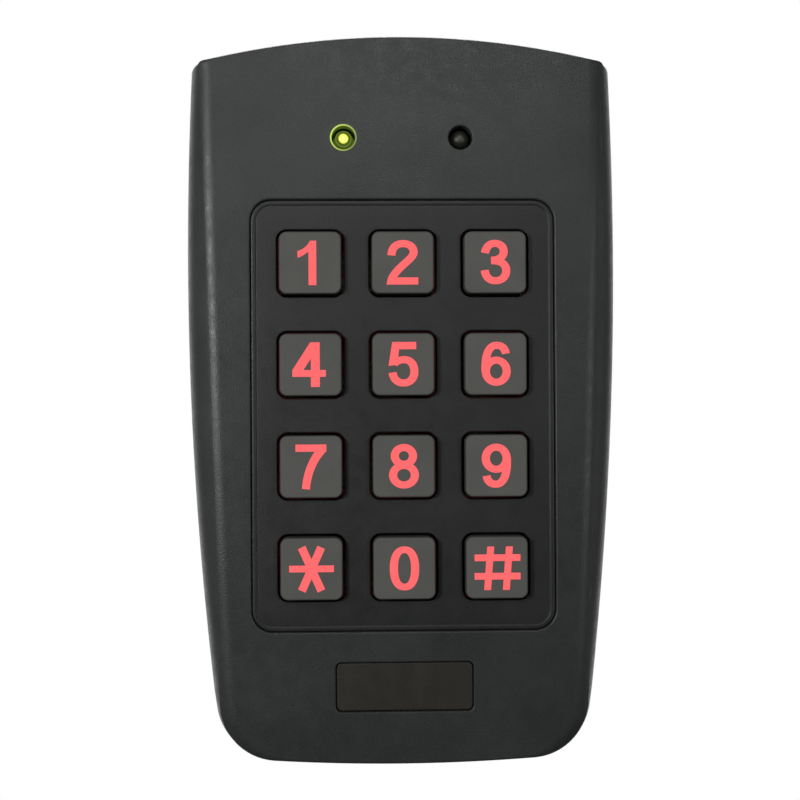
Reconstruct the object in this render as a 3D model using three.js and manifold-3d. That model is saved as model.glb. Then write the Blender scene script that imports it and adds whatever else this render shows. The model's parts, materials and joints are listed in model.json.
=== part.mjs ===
// Keypad access reader: an arched wall housing with a 3 x 4 block of backlit keys, two status
// lights and a blank name label. Inside are the silicone key mat, the circuit board and its
// components. A plate that screws to the wall closes the back.
//
// Millimetres. +Z is up, the front faces -Y and the wall face lies in the plane y = 0. The origin
// is the middle of the wall face. Depths are counted from the flat front face towards the wall.
import * as THREE from "three";
import { mergeVertices } from "three/addons/utils/BufferGeometryUtils.js";
import Module from "manifold-3d";

const wasm = await Module();
wasm.setup();

// ---- keys and panel ----
const COLUMNS = 3;
const ROWS = 4;
const KEY_PITCH_X = 15.24;
const KEY_PITCH_Z = 16.76;
const KEY_SIZE = 10.3;
const KEY_CORNER = 1.3;
const KEY_EDGE = 0.5;            // rounding of the key's top edge
const KEY_GAP = 0.45;            // key to its opening, each side
const KEY_PROUD = 1.6;           // key top above the panel
const KEY_TRAVEL = 1;
const CONTACT_GAP = 0.2;         // plunger to the board with the key fully pressed
const PLUNGER_DIAMETER = 6;
const PLUNGER_LENGTH = 1.1;
const PANEL_BORDER_X = 4.18;     // outer key opening to the panel's side
const PANEL_BORDER_Z = 4.79;     // outer key opening to the panel's top and bottom
const PANEL_CORNER = 3.4;
const PANEL_SUNK = 0.5;          // flat panel below the housing's face
const PANEL_THICKNESS = 3.5;
const BEAD_WIDTH = 1;            // raised bead along the panel's edge
const BEAD_HEIGHT = 0.35;
const PANEL_GROOVE = 0.4;        // panel to the housing, each side
const FLANGE_REACH = 1.5;        // panel's flange behind the housing's face
const FLANGE_THICKNESS = 1.3;

// ---- housing ----
const DEPTH = 26;                // wall to the flat front face
const TOP_BAND = 27.12;          // panel to the top of the arched edge
const BOTTOM_BAND = 21.97;       // panel to the bottom edge
const SIDE_BAND_TOP = 7.68;      // panel to the crease at the top of the face
const SIDE_BAND_BOTTOM = 4.03;   // panel to the crease at the bottom of the face
const SIDE_REACH = 11.18;        // panel to the widest point of the housing
const WIDEST_ABOVE_MIDDLE = 22.5;
const SIDE_BOW = 596;            // radius of the bowed sides
const TOP_ARCH = 138;            // radius of the arched top edge
const BOTTOM_ARCH = 317;
const TOP_CORNER = 1;
const BOTTOM_CORNER = 9.4;
const SHOULDER_DEPTH = 18;       // depth over which the sides swell out from the crease
const SHOULDER_FULLNESS = 8;     // how much of the swelling lies close to the face
const END_DRAFT = 0.4;           // how much further the ends reach at the wall than at the face
const FACE_EDGE = 0.6;           // rounding around the face
const FACE_WALL = 2.4;
const SIDE_WALL = 2.2;
const WALL_RELIEF = 0.3;         // housing's rear edge above the wall

// ---- status lights and name label ----
const LIGHT_ABOVE_PANEL = 10.36;
const LIGHT_SPACING = 19.35;
const LIGHT_DIAMETER = 3;
const LIGHT_FLANGE = 3.8;
const LIGHT_GAP = 0.45;          // light to the side of its hole
const LIGHT_SUNK = 0.8;          // top of the dome below the face
const LIGHT_CHAMFER = 0.25;
const LABEL_BELOW_PANEL = 9.26;
const LABEL_LENGTH = 22.6;
const LABEL_HEIGHT = 8;
const LABEL_CORNER = 0.6;
const LABEL_RECESS = 1.1;
const LABEL_THICKNESS = 0.45;

// ---- board, key mat and components ----
const BOARD_THICKNESS = 1.6;
const BOARD_SIDE_GAP = 2;
const BOARD_END_GAP = 4;
const BOARD_CORNER = 3;
const BOARD_SCREW_INSET = 3.4;
const BOSS_DIAMETER = 6;
const BOARD_SCREW = 2.2;
const BOARD_SCREW_HEAD = { diameter: 4.2, thickness: 1.5, edge: 0.4 };
const BOARD_SCREW_TIP = { gap: 1, radius: 0.4, length: 0.6 };
const CROSS_SLOT = { width: 0.6, length: 2.4, depth: 0.8 };
const MAT_HEIGHT = 2.7;
const MAT_WEB = 1.2;
const MAT_RIM = 1.6;
const SKIRT_WALL = 0.55;
const SKIRT_SPREAD = 0.5;        // how much wider a skirt's foot is than its top
const SKIRT_CORNER = 2.2;
const BACKLIGHT = { width: 1.25, thickness: 0.8, height: 2 };
const ANTENNA = { inset: 6.8, width: 3, thickness: 1.4, corner: 8 };
const MICROCONTROLLER = { x: -8, z: 28, width: 10, height: 10, thickness: 1.6, feet: 10, pitch: 0.8 };
const REGULATOR = { x: -10, z: -38, width: 6.5, height: 3.6, thickness: 1.8, feet: 2, pitch: 2.3 };
const FOOT = { reach: 0.9, width: 0.35, thickness: 0.5, standoff: 0.15 };
const BUZZER = { x: 8, z: 30, diameter: 12, thickness: 6.5, edge: 0.6, bore: 2.4, boreDepth: 2 };
const CAPACITOR = { x: 9, z: -36, diameter: 6.3, length: 7.7, groove: 0.25, edge: 0.4 };
const CONNECTOR = { x: 0, z: -8, length: 25, height: 6, depth: 8, wall: 1, floor: 1.5 };
const PIN = { count: 10, pitch: 2.3, size: 0.64 };
const SENSOR = { width: 5, height: 4.2, depth: 3.2, eye: 1.5, eyeDepth: 1, eyeOffset: 1.2 };

// ---- back plate ----
const PLATE_THICKNESS = 2.5;
const PLATE_RIM = 1.6;
const PLATE_RIM_HEIGHT = 2;
const GASKET_WIDTH = 1.5;
const GASKET_THICKNESS = 1.5;
const WALL_HOLE = 4.4;
const WALL_HOLE_SEAT = 8.6;
const WALL_SEAT_THICKNESS = 1.7;
const WALL_SEAT_RIM = 1.5;
const WALL_SEAT_RISE = 1;
const WALL_HOLE_SPACING = 83.3;
const CABLE_HOLE = 12;
const CABLE_ABOVE_MIDDLE = 15;
const GROMMET = { bore: 7, lip: 1.5, length: 3.2, edge: 0.5, lipThickness: 1.4, recess: 0.4 };
const SENSOR_HOLE = 6;
const SENSOR_BELOW_MIDDLE = 24;
const HOOK_WIDTH = 6;
const HOOK_THICKNESS = 2;
const HOOK_POCKET = 6;           // height of the pocket's cut, most of it in the open hollow
const HOOK_REACH = 0.8;          // hook beyond the inner wall of the housing
const HOOK_OFFSET = 10;
const LUG_WIDTH = 8;
const LUG_LENGTH = 6;
const LUG_SCREW_HEIGHT = 6.8;    // security screw above the wall
const SECURITY_SCREW = 3;
const SECURITY_HEAD = 5.2;
const SECURITY_LENGTH = 9;
const SECURITY_TIP = 0.6;
const SECURITY_SUNK = 0.1;
const SECURITY_RIM = 0.2;        // straight edge of the countersunk head
const SECURITY_SOCKET = { radius: 1.05, depth: 1 };

const FIT = 0.3;                 // gap between pieces that touch or slide

// ---- sizes that follow ----
const KEY_OPENING = KEY_SIZE + 2 * KEY_GAP;
const PANEL_WIDTH = (COLUMNS - 1) * KEY_PITCH_X + KEY_OPENING + 2 * PANEL_BORDER_X;
const PANEL_HEIGHT = (ROWS - 1) * KEY_PITCH_Z + KEY_OPENING + 2 * PANEL_BORDER_Z;
const PANEL_Z = (BOTTOM_BAND - TOP_BAND) / 2;
const FACE_TOP = PANEL_Z + PANEL_HEIGHT / 2 + TOP_BAND;
const FACE_BOTTOM = PANEL_Z - PANEL_HEIGHT / 2 - BOTTOM_BAND;
const LIGHT_Z = PANEL_Z + PANEL_HEIGHT / 2 + LIGHT_ABOVE_PANEL;
const LABEL_Z = PANEL_Z - PANEL_HEIGHT / 2 - LABEL_BELOW_PANEL;
const PANEL_BACK = PANEL_SUNK + PANEL_THICKNESS;
const MAT_FRONT = PANEL_BACK + FIT;
const MAT_BACK = MAT_FRONT + MAT_HEIGHT;
const BOARD_DEPTH = MAT_BACK + FIT;
const BOARD_BACK = BOARD_DEPTH + BOARD_THICKNESS;
const PLUNGER_BACK = BOARD_DEPTH - CONTACT_GAP - KEY_TRAVEL;
const KEY_BACK = PLUNGER_BACK - PLUNGER_LENGTH;
const PLATE_FRONT = DEPTH - PLATE_THICKNESS;

const group = new THREE.Group();

// ---- materials ----
const finish = (color, roughness, metalness = 0) => ({ color, roughness, metalness });
const HOUSING = finish(0x3f4140, 0.55);
const PANEL = finish(0x343535, 0.4);
const SILICONE = finish(0x585856, 0.7);
const MAT = finish(0x5a1512, 0.75);
const GREEN_LENS = finish(0xd8f060, 0.2);
const DARK_LENS = finish(0x16180f, 0.2);
const LABEL = finish(0x29271f, 0.5);
const BOARD = finish(0x14532d, 0.45);
const BLACK_RESIN = finish(0x161616, 0.5);
const CREAM_NYLON = finish(0xd9d3bd, 0.6);
const STEEL = finish(0xa8abad, 0.3, 1);
const COPPER = finish(0xb5703a, 0.35, 1);
const RUBBER = finish(0x1c1c1c, 0.85);
const RED_LIGHT = finish(0xd8251a, 0.3);

// ---- shape helpers ----
// A shape drawn in x and z becomes a slab between two depths.
function slab(shape, front, back, curveSegments = 4) {
  const geometry = new THREE.ExtrudeGeometry(shape, {
    depth: back - front,
    bevelEnabled: false,
    curveSegments,
  });
  geometry.rotateX(Math.PI / 2);
  geometry.translate(0, back - DEPTH, 0);
  return geometry;
}

function roundedRectangle(width, height, radius, x = 0, z = 0) {
  const shape = new THREE.Shape();
  const r = Math.max(Math.min(radius, width / 2 - 0.01, height / 2 - 0.01), 0.01);
  const right = x + width / 2 - r;
  const left = x - width / 2 + r;
  const top = z + height / 2 - r;
  const bottom = z - height / 2 + r;
  shape.absarc(right, bottom, r, -Math.PI / 2, 0);
  shape.absarc(right, top, r, 0, Math.PI / 2);
  shape.absarc(left, top, r, Math.PI / 2, Math.PI);
  shape.absarc(left, bottom, r, Math.PI, 1.5 * Math.PI);
  return shape;
}

// The corner points of a shape, with the closing point left out.
function openPoints(shape, curveSegments) {
  const { shape: points } = shape.extractPoints(curveSegments);
  const closed = points[0].distanceTo(points.at(-1)) < 1e-6;
  return closed ? points.slice(0, -1) : points;
}

// A solid of stacked rings. Each ring is an outline in x and z, counter-clockwise as seen from
// the front, at its own depth, and all rings have the same number of points.
function stack(rings) {
  const count = rings[0].points.length;
  const positions = [];
  const faces = [];
  for (const ring of rings) {
    for (const point of ring.points) {
      positions.push(point.x, ring.depth - DEPTH, point.y);
    }
  }
  for (let k = 0; k + 1 < rings.length; k += 1) {
    for (let i = 0; i < count; i += 1) {
      const next = (i + 1) % count;
      const front = k * count;
      const back = front + count;
      faces.push(front + i, back + i, front + next);
      faces.push(front + next, back + i, back + next);
    }
  }
  const last = (rings.length - 1) * count;
  for (const [a, b, c] of THREE.ShapeUtils.triangulateShape(rings[0].points, [])) {
    faces.push(a, b, c);
  }
  for (const [a, b, c] of THREE.ShapeUtils.triangulateShape(rings.at(-1).points, [])) {
    faces.push(last + c, last + b, last + a);
  }
  const geometry = new THREE.BufferGeometry();
  geometry.setAttribute("position", new THREE.Float32BufferAttribute(positions, 3));
  geometry.setIndex(faces);
  return geometry;
}

// A turned piece around an axis parallel to Y. The profile is a list of [radius, depth] pairs.
function turned(profile, x, z, segments = 20) {
  const points = profile.map(([radius, depth]) => new THREE.Vector2(radius, depth - DEPTH));
  const geometry = new THREE.LatheGeometry(points, segments);
  geometry.translate(x, 0, z);
  return geometry;
}

function cylinder(diameter, front, back, x, z, segments = 20) {
  const geometry = new THREE.CylinderGeometry(diameter / 2, diameter / 2, back - front, segments);
  geometry.translate(x, (front + back) / 2 - DEPTH, z);
  return geometry;
}

function cone(frontDiameter, backDiameter, front, back, x, z, segments = 20) {
  const height = back - front;
  const geometry = new THREE.CylinderGeometry(backDiameter / 2, frontDiameter / 2, height, segments);
  geometry.translate(x, (front + back) / 2 - DEPTH, z);
  return geometry;
}

function box(width, height, front, back, x, z) {
  const geometry = new THREE.BoxGeometry(width, back - front, height);
  geometry.translate(x, (front + back) / 2 - DEPTH, z);
  return geometry;
}

function solid(geometry) {
  const bare = geometry.clone();
  bare.deleteAttribute("normal");
  bare.deleteAttribute("uv");
  const merged = mergeVertices(bare, 1e-4);
  return new wasm.Manifold(new wasm.Mesh({
    numProp: 3,
    vertProperties: new Float32Array(merged.attributes.position.array),
    triVerts: new Uint32Array(merged.index.array),
  }));
}

const joined = (first, ...others) => others.reduce((all, one) => all.add(solid(one)), solid(first));
const cut = (body, ...tools) => tools.reduce((rest, tool) => rest.subtract(solid(tool)), body);

function geometryOf(body) {
  const mesh = body.getMesh();
  const geometry = new THREE.BufferGeometry();
  geometry.setAttribute("position", new THREE.BufferAttribute(new Float32Array(mesh.vertProperties), 3));
  geometry.setIndex(new THREE.BufferAttribute(new Uint32Array(mesh.triVerts), 1));
  geometry.computeVertexNormals();
  return geometry;
}

function place(name, shape, look, x = 0, z = 0) {
  const geometry = shape.isBufferGeometry ? shape : geometryOf(shape);
  const mesh = new THREE.Mesh(geometry, new THREE.MeshStandardMaterial(look));
  mesh.name = name;
  mesh.position.set(x, 0, z);
  group.add(mesh);
}

// ---- housing outline ----
// Half the width of the housing at a height and a depth: the crease line of the face runs
// straight, the sides are bowed, and the shoulder swells from the one to the other.
function halfWidth(z, depth) {
  const along = (z - FACE_BOTTOM) / (FACE_TOP - FACE_BOTTOM);
  const crease = PANEL_WIDTH / 2 + THREE.MathUtils.lerp(SIDE_BAND_BOTTOM, SIDE_BAND_TOP, along);
  const bowed = PANEL_WIDTH / 2 + SIDE_REACH - (z - WIDEST_ABOVE_MIDDLE) ** 2 / (2 * SIDE_BOW);
  const swell = 1 - (1 - Math.min(depth / SHOULDER_DEPTH, 1)) ** SHOULDER_FULLNESS;
  return THREE.MathUtils.lerp(crease, bowed, swell);
}

const drafted = (depth) => END_DRAFT * depth / DEPTH;
const topEdge = (x, depth, inset) => FACE_TOP + drafted(depth) - TOP_ARCH
  + Math.sqrt((TOP_ARCH - inset) ** 2 - x ** 2);

function arcPoints(centre, radius, from, to, count) {
  return Array.from({ length: count + 1 }, (_, i) => {
    const angle = THREE.MathUtils.lerp(from, to, i / count);
    return new THREE.Vector2(centre.x + radius * Math.cos(angle), centre.y + radius * Math.sin(angle));
  });
}

// The outline at a depth, moved inwards by an inset: bottom arc, corner, bowed side, corner and
// top arch of the right half, and the same mirrored.
function outline(depth, inset) {
  const side = (z) => halfWidth(z, depth) - inset;
  const leaning = (z) => Math.atan((side(z + 0.5) - side(z - 0.5)));
  const archCentre = FACE_TOP + drafted(depth) - TOP_ARCH;
  const baseCentre = FACE_BOTTOM - drafted(depth) + BOTTOM_ARCH;
  const topRadius = Math.max(TOP_CORNER - inset, 0.3);
  const bottomRadius = Math.max(BOTTOM_CORNER - inset, 0.3);
  const arch = TOP_ARCH - inset;
  const base = BOTTOM_ARCH - inset;

  const low = FACE_BOTTOM - drafted(depth) + inset + bottomRadius;
  const lowX = side(low) - bottomRadius / Math.cos(leaning(low));
  const lowCentre = new THREE.Vector2(lowX, baseCentre - Math.sqrt((base - bottomRadius) ** 2 - lowX ** 2));
  const high = topEdge(side(FACE_TOP), depth, inset) - topRadius;
  const highX = side(high) - topRadius / Math.cos(leaning(high));
  const highCentre = new THREE.Vector2(highX, archCentre + Math.sqrt((arch - topRadius) ** 2 - highX ** 2));

  const baseEnd = Math.atan2(lowCentre.y - baseCentre, lowCentre.x);
  const archStart = Math.atan2(highCentre.y - archCentre, highCentre.x);
  const right = [
    ...arcPoints(new THREE.Vector2(0, baseCentre), base, -Math.PI / 2, baseEnd, 3),
    ...arcPoints(lowCentre, bottomRadius, baseEnd, -leaning(low), 5).slice(1),
  ];
  const sideLow = right.at(-1).y;
  const cornerPoints = arcPoints(highCentre, topRadius, -leaning(high), archStart, 2);
  const sideHigh = cornerPoints[0].y;
  const steps = 9;
  for (let i = 1; i < steps; i += 1) {
    const z = THREE.MathUtils.lerp(sideLow, sideHigh, i / steps);
    right.push(new THREE.Vector2(side(z), z));
  }
  right.push(...cornerPoints);
  right.push(...arcPoints(new THREE.Vector2(0, archCentre), arch, archStart, Math.PI / 2, 6).slice(1));
  const left = right.slice(1, -1).reverse().map((point) => new THREE.Vector2(-point.x, point.y));
  return [...right, ...left];
}

const ring = (depth, inset) => ({ depth, points: outline(depth, inset) });
const shapeOf = (points) => new THREE.Shape(points);

// ---- keypad layout ----
const KEY_NAMES = ["1", "2", "3", "4", "5", "6", "7", "8", "9", "star", "0", "hash"];
const keyPlaces = KEY_NAMES.map((name, i) => ({
  name: `key_${name}`,
  x: (i % COLUMNS - (COLUMNS - 1) / 2) * KEY_PITCH_X,
  z: PANEL_Z + ((ROWS - 1) / 2 - Math.floor(i / COLUMNS)) * KEY_PITCH_Z,
}));
const panelRectangle = (reach) => roundedRectangle(PANEL_WIDTH + 2 * reach, PANEL_HEIGHT + 2 * reach,
  PANEL_CORNER + reach, 0, PANEL_Z);
const lightPlaces = [-LIGHT_SPACING / 2, LIGHT_SPACING / 2];

// ---- circuit board outline ----
const boardRoom = (z) => halfWidth(z, BOARD_DEPTH) - SIDE_WALL - BOARD_SIDE_GAP;
const BOARD_BOTTOM = FACE_BOTTOM + SIDE_WALL + BOARD_END_GAP;
const BOARD_HALF = Math.min(boardRoom(BOARD_BOTTOM), boardRoom(FACE_TOP));
const BOARD_TOP = topEdge(BOARD_HALF, BOARD_DEPTH, SIDE_WALL) - BOARD_SIDE_GAP;
const BOARD_MIDDLE = (BOARD_TOP + BOARD_BOTTOM) / 2;
const boardScrewPlaces = [-1, 1].flatMap((side) => [BOARD_TOP - BOARD_SCREW_INSET,
  BOARD_BOTTOM + BOARD_SCREW_INSET].map((z) => ({ x: side * (BOARD_HALF - BOARD_SCREW_INSET), z })));

// ---- front cover ----
function makeFrontCover() {
  const rounding = [0, 30, 60, 90].map((degrees) => {
    const angle = THREE.MathUtils.degToRad(degrees);
    return ring(FACE_EDGE * (1 - Math.cos(angle)), FACE_EDGE * (1 - Math.sin(angle)));
  });
  const swelling = [0.05, 0.11, 0.2, 0.36, 1].map((share) => ring(share * SHOULDER_DEPTH, 0));
  const rear = DEPTH - WALL_RELIEF;
  const outer = solid(stack([...rounding, ...swelling, ring(rear, 0)]));

  const hollow = [0.3, 0.5, 0.75, 1].map((share) => ring(share * SHOULDER_DEPTH, SIDE_WALL));
  const inner = stack([ring(FACE_WALL, SIDE_WALL), ...hollow, ring(DEPTH + 1, SIDE_WALL)]);
  let cover = cut(outer, inner);

  cover = cut(cover, slab(panelRectangle(PANEL_GROOVE), -1, FACE_WALL + 1));

  const recess = roundedRectangle(LABEL_LENGTH, LABEL_HEIGHT, LABEL_CORNER, 0, LABEL_Z);
  cover = cut(cover, slab(recess, -1, LABEL_RECESS));

  for (const x of lightPlaces) {
    const hole = LIGHT_DIAMETER + 2 * LIGHT_GAP;
    const mouth = hole + 2 * LIGHT_CHAMFER + 2;
    cover = cut(cover, cylinder(hole, -1, FACE_WALL + 1, x, LIGHT_Z, 24));
    cover = cut(cover, cone(mouth, hole, -1, LIGHT_CHAMFER, x, LIGHT_Z, 24));
  }
  for (const { x, z } of boardScrewPlaces) {
    cover = cover.add(solid(cylinder(BOSS_DIAMETER, FACE_WALL - 0.5, BOARD_DEPTH - FIT, x, z)));
    cover = cut(cover, cylinder(BOARD_SCREW + 2 * FIT, FACE_WALL + 0.4, BOARD_DEPTH + 1, x, z, 12));
  }

  // pockets in the top wall for the back plate's hooks
  for (const x of [-HOOK_OFFSET, HOOK_OFFSET]) {
    const middle = hookTop() + FIT - HOOK_POCKET / 2;
    const front = hookFront() - FIT;
    const back = front + HOOK_THICKNESS + 2 * FIT;
    cover = cut(cover, box(HOOK_WIDTH + 2 * FIT, HOOK_POCKET, front, back, x, middle));
  }

  // countersunk hole in the bottom wall for the security screw
  return cut(cover, ...securityHoleTools());
}

const hookTop = () => topEdge(HOOK_OFFSET + HOOK_WIDTH / 2, hookFront(), SIDE_WALL) + HOOK_REACH;
const hookFront = () => PLATE_FRONT - PLATE_RIM_HEIGHT - HOOK_THICKNESS;

// ---- security screw, on a vertical axis through the bottom wall ----
const SECURITY_DEPTH = DEPTH - LUG_SCREW_HEIGHT;
const SECURITY_BOTTOM = FACE_BOTTOM - drafted(SECURITY_DEPTH);
const SECURITY_HEAD_HEIGHT = (SECURITY_HEAD - SECURITY_SCREW) / 2;

function upright(geometry, z) {
  geometry.rotateX(Math.PI / 2);
  geometry.translate(0, SECURITY_DEPTH - DEPTH, z);
  return geometry;
}

function securityHoleTools() {
  const bore = SECURITY_SCREW + 2 * FIT;
  const mouth = SECURITY_HEAD + 2 * FIT;
  const length = SIDE_WALL + 4;
  const flare = SECURITY_HEAD_HEIGHT + FIT;
  const shaft = new THREE.CylinderGeometry(bore / 2, bore / 2, length, 20);
  const sink = new THREE.CylinderGeometry(bore / 2, mouth / 2, flare, 20);
  const below = new THREE.CylinderGeometry(mouth / 2, mouth / 2, 2, 20);
  return [
    upright(shaft, SECURITY_BOTTOM + SIDE_WALL),
    upright(sink, SECURITY_BOTTOM + flare / 2),
    upright(below, SECURITY_BOTTOM - 1 + 1e-3),
  ];
}

function makeSecurityScrew() {
  const shank = SECURITY_SCREW / 2;
  const head = SECURITY_HEAD / 2;
  const rim = SECURITY_SUNK + SECURITY_RIM;
  const profile = [
    [0, SECURITY_SUNK],
    [head, SECURITY_SUNK],
    [head, rim],
    [shank, rim + SECURITY_HEAD_HEIGHT],
    [shank, SECURITY_LENGTH - SECURITY_TIP],
    [shank - SECURITY_TIP, SECURITY_LENGTH],
    [0, SECURITY_LENGTH],
  ].map(([radius, height]) => new THREE.Vector2(radius, height));
  const screw = upright(new THREE.LatheGeometry(profile, 20), SECURITY_BOTTOM);
  const { radius, depth } = SECURITY_SOCKET;
  const socket = new THREE.CylinderGeometry(radius, radius, 2 * depth, 6);
  return cut(solid(screw), upright(socket, SECURITY_BOTTOM));
}

// ---- keypad ----
function makeBezel() {
  const bead = PANEL_SUNK - BEAD_HEIGHT;
  const flange = slab(panelRectangle(FLANGE_REACH), PANEL_BACK - FLANGE_THICKNESS, PANEL_BACK);
  let bezel = joined(slab(panelRectangle(0), bead, PANEL_BACK), flange);
  bezel = cut(bezel, slab(panelRectangle(-BEAD_WIDTH), bead - 1, PANEL_SUNK));
  for (const key of keyPlaces) {
    const opening = roundedRectangle(KEY_OPENING, KEY_OPENING, KEY_CORNER + KEY_GAP, key.x, key.z);
    bezel = cut(bezel, slab(opening, -1, PANEL_BACK + 1, 3));
  }
  return bezel;
}

const SKIRT_TOP_HALF = KEY_SIZE / 2 + FIT + SKIRT_WALL;
const SKIRT_FOOT_HALF = SKIRT_TOP_HALF + SKIRT_SPREAD;
const WEB_HOLE = 2 * (SKIRT_FOOT_HALF + FIT);
const backlightPlaces = Array.from({ length: ROWS - 1 }, (_, row) => row)
  .flatMap((row) => Array.from({ length: COLUMNS - 1 }, (_, column) => ({
    x: (column + 1 - COLUMNS / 2) * KEY_PITCH_X,
    z: PANEL_Z + (ROWS / 2 - 1 - row) * KEY_PITCH_Z,
  })));

function makeKeyMat() {
  const outer = panelRectangle(FLANGE_REACH);
  const inner = panelRectangle(FLANGE_REACH - MAT_RIM);
  let mat = solid(slab(outer, MAT_FRONT, MAT_BACK));
  mat = cut(mat, slab(inner, PANEL_BACK, MAT_BACK - MAT_WEB));
  for (const key of keyPlaces) {
    const hole = roundedRectangle(WEB_HOLE, WEB_HOLE, SKIRT_CORNER + FIT, key.x, key.z);
    mat = cut(mat, slab(hole, PANEL_BACK, MAT_BACK + 1, 2));
  }
  for (const { x, z } of backlightPlaces) {
    const width = BACKLIGHT.width + 2 * FIT;
    const height = BACKLIGHT.height + 2 * FIT;
    mat = cut(mat, box(width, height, PANEL_BACK, MAT_BACK + 1, x, z));
  }
  return mat;
}

// One key, around x = 0 and z = 0: a rounded square cap and the plunger behind it.
function makeKey() {
  const top = PANEL_SUNK - KEY_PROUD;
  const bevelled = [
    { depth: top, inset: KEY_EDGE },
    { depth: top + 0.3 * KEY_EDGE, inset: 0.3 * KEY_EDGE },
    { depth: top + KEY_EDGE, inset: 0 },
    { depth: KEY_BACK, inset: 0 },
  ];
  const rings = bevelled.map(({ depth, inset }) => {
    const size = KEY_SIZE - 2 * inset;
    return { depth, points: openPoints(roundedRectangle(size, size, KEY_CORNER - inset), 2) };
  });
  return joined(stack(rings), cylinder(PLUNGER_DIAMETER, KEY_BACK - 0.5, PLUNGER_BACK, 0, 0, 12));
}

// The thin flexing wall between a key and the mat, around x = 0 and z = 0.
function makeSkirt() {
  const front = MAT_FRONT + 0.1;
  const back = MAT_BACK - 0.1;
  const slope = (SKIRT_FOOT_HALF - SKIRT_TOP_HALF) / (back - front);
  const flared = (inset, overrun) => stack([front - overrun, back + overrun].map((depth) => {
    const size = 2 * (SKIRT_TOP_HALF + slope * (depth - front) - inset);
    return { depth, points: openPoints(roundedRectangle(size, size, SKIRT_CORNER - inset), 2) };
  }));
  return cut(solid(flared(0, 0)), flared(SKIRT_WALL, 0.5));
}

// ---- status lights ----
function makeStatusLight(x) {
  const radius = LIGHT_DIAMETER / 2;
  const dome = Array.from({ length: 5 }, (_, i) => {
    const angle = (i / 4) * Math.PI / 2;
    return [radius * Math.sin(angle), LIGHT_SUNK + radius * (1 - Math.cos(angle))];
  });
  const back = BOARD_DEPTH - FIT;
  const flangeFront = back - 1;
  return turned([...dome, [radius, flangeFront], [LIGHT_FLANGE / 2, flangeFront],
    [LIGHT_FLANGE / 2, back], [0, back]], x, LIGHT_Z, 16);
}

// ---- circuit board and what is on it ----
function makeBoard() {
  const shape = roundedRectangle(2 * BOARD_HALF, BOARD_TOP - BOARD_BOTTOM, BOARD_CORNER, 0, BOARD_MIDDLE);
  const holes = boardScrewPlaces.map(({ x, z }) => {
    const diameter = BOARD_SCREW + 2 * FIT;
    return cylinder(diameter, BOARD_DEPTH - 1, BOARD_BACK + 1, x, z, 16);
  });
  return cut(solid(slab(shape, BOARD_DEPTH, BOARD_BACK)), ...holes);
}

function makeBoardScrew({ x, z }) {
  const shank = BOARD_SCREW / 2;
  const head = BOARD_SCREW_HEAD.diameter / 2;
  const front = BOARD_BACK + FIT;
  const back = front + BOARD_SCREW_HEAD.thickness;
  const tip = FACE_WALL + BOARD_SCREW_TIP.gap;
  const profile = [
    [0, tip],
    [shank - BOARD_SCREW_TIP.radius, tip],
    [shank, tip + BOARD_SCREW_TIP.length],
    [shank, front],
    [head, front],
    [head, back - BOARD_SCREW_HEAD.edge],
    [head - BOARD_SCREW_HEAD.edge, back],
    [0, back],
  ];
  const { width, length, depth } = CROSS_SLOT;
  return cut(solid(turned(profile, x, z, 16)),
    box(width, length, back - depth, back + 1, x, z),
    box(length, width, back - depth, back + 1, x, z));
}

function makeAntenna() {
  const { inset, width, thickness, corner } = ANTENNA;
  const outlineAt = (within) => roundedRectangle(2 * (BOARD_HALF - inset - within),
    BOARD_TOP - BOARD_BOTTOM - 2 * (inset + within), corner - within, 0, BOARD_MIDDLE);
  const front = BOARD_BACK + FIT;
  const back = front + thickness;
  return cut(solid(slab(outlineAt(0), front, back)), slab(outlineAt(width), front - 1, back + 1));
}

function makeBuzzer({ x, z, diameter, thickness, edge, bore, boreDepth }) {
  const front = BOARD_BACK + FIT;
  const back = front + thickness;
  const radius = diameter / 2;
  return turned([
    [0, front],
    [radius, front],
    [radius, back - edge],
    [radius - edge, back],
    [bore / 2, back],
    [bore / 2, back - boreDepth],
    [0, back - boreDepth],
  ], x, z, 28);
}

function makeCapacitor({ x, z, diameter, length, groove, edge }) {
  const front = BOARD_BACK + FIT;
  const back = front + length;
  const radius = diameter / 2;
  const grooveMiddle = front + length / 6;
  return turned([
    [0, front],
    [radius, front],
    [radius, grooveMiddle - groove],
    [radius - groove, grooveMiddle],
    [radius, grooveMiddle + groove],
    [radius, back - edge],
    [radius - edge, back],
    [0, back],
  ], x, z, 20);
}

// A flat package with a row of feet joined to each of two opposite sides.
function makePackage({ x, z, width, height, thickness, feet, pitch }) {
  const front = BOARD_BACK + FIT;
  const span = width + 2 * FOOT.reach;
  let body = solid(box(width, height, front + FOOT.standoff, front + thickness, x, z));
  for (let i = 0; i < feet; i += 1) {
    const along = (i - (feet - 1) / 2) * pitch;
    body = body.add(solid(box(span, FOOT.width, front, front + FOOT.thickness, x, z + along)));
  }
  return body;
}

function makeConnector({ x, z, length, height, depth, wall, floor }) {
  const front = BOARD_BACK + FIT;
  const back = front + depth;
  let body = solid(box(length, height, front, back, x, z));
  body = cut(body, box(length - 2 * wall, height - 2 * wall, front + floor, back + 1, x, z));
  for (let i = 0; i < PIN.count; i += 1) {
    const along = (i - (PIN.count - 1) / 2) * PIN.pitch;
    body = body.add(solid(box(PIN.size, PIN.size, front + floor / 2, back - wall, x + along, z)));
  }
  return body;
}

function makeTamperSensor() {
  const { width, height, depth, eye, eyeDepth, eyeOffset } = SENSOR;
  const front = BOARD_BACK + FIT;
  const back = front + depth;
  const z = -SENSOR_BELOW_MIDDLE;
  const eyes = [-eyeOffset, eyeOffset].map((x) => cylinder(eye, back - eyeDepth, back + 1, x, z, 12));
  return cut(solid(box(width, height, front, back, 0, z)), ...eyes);
}

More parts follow.
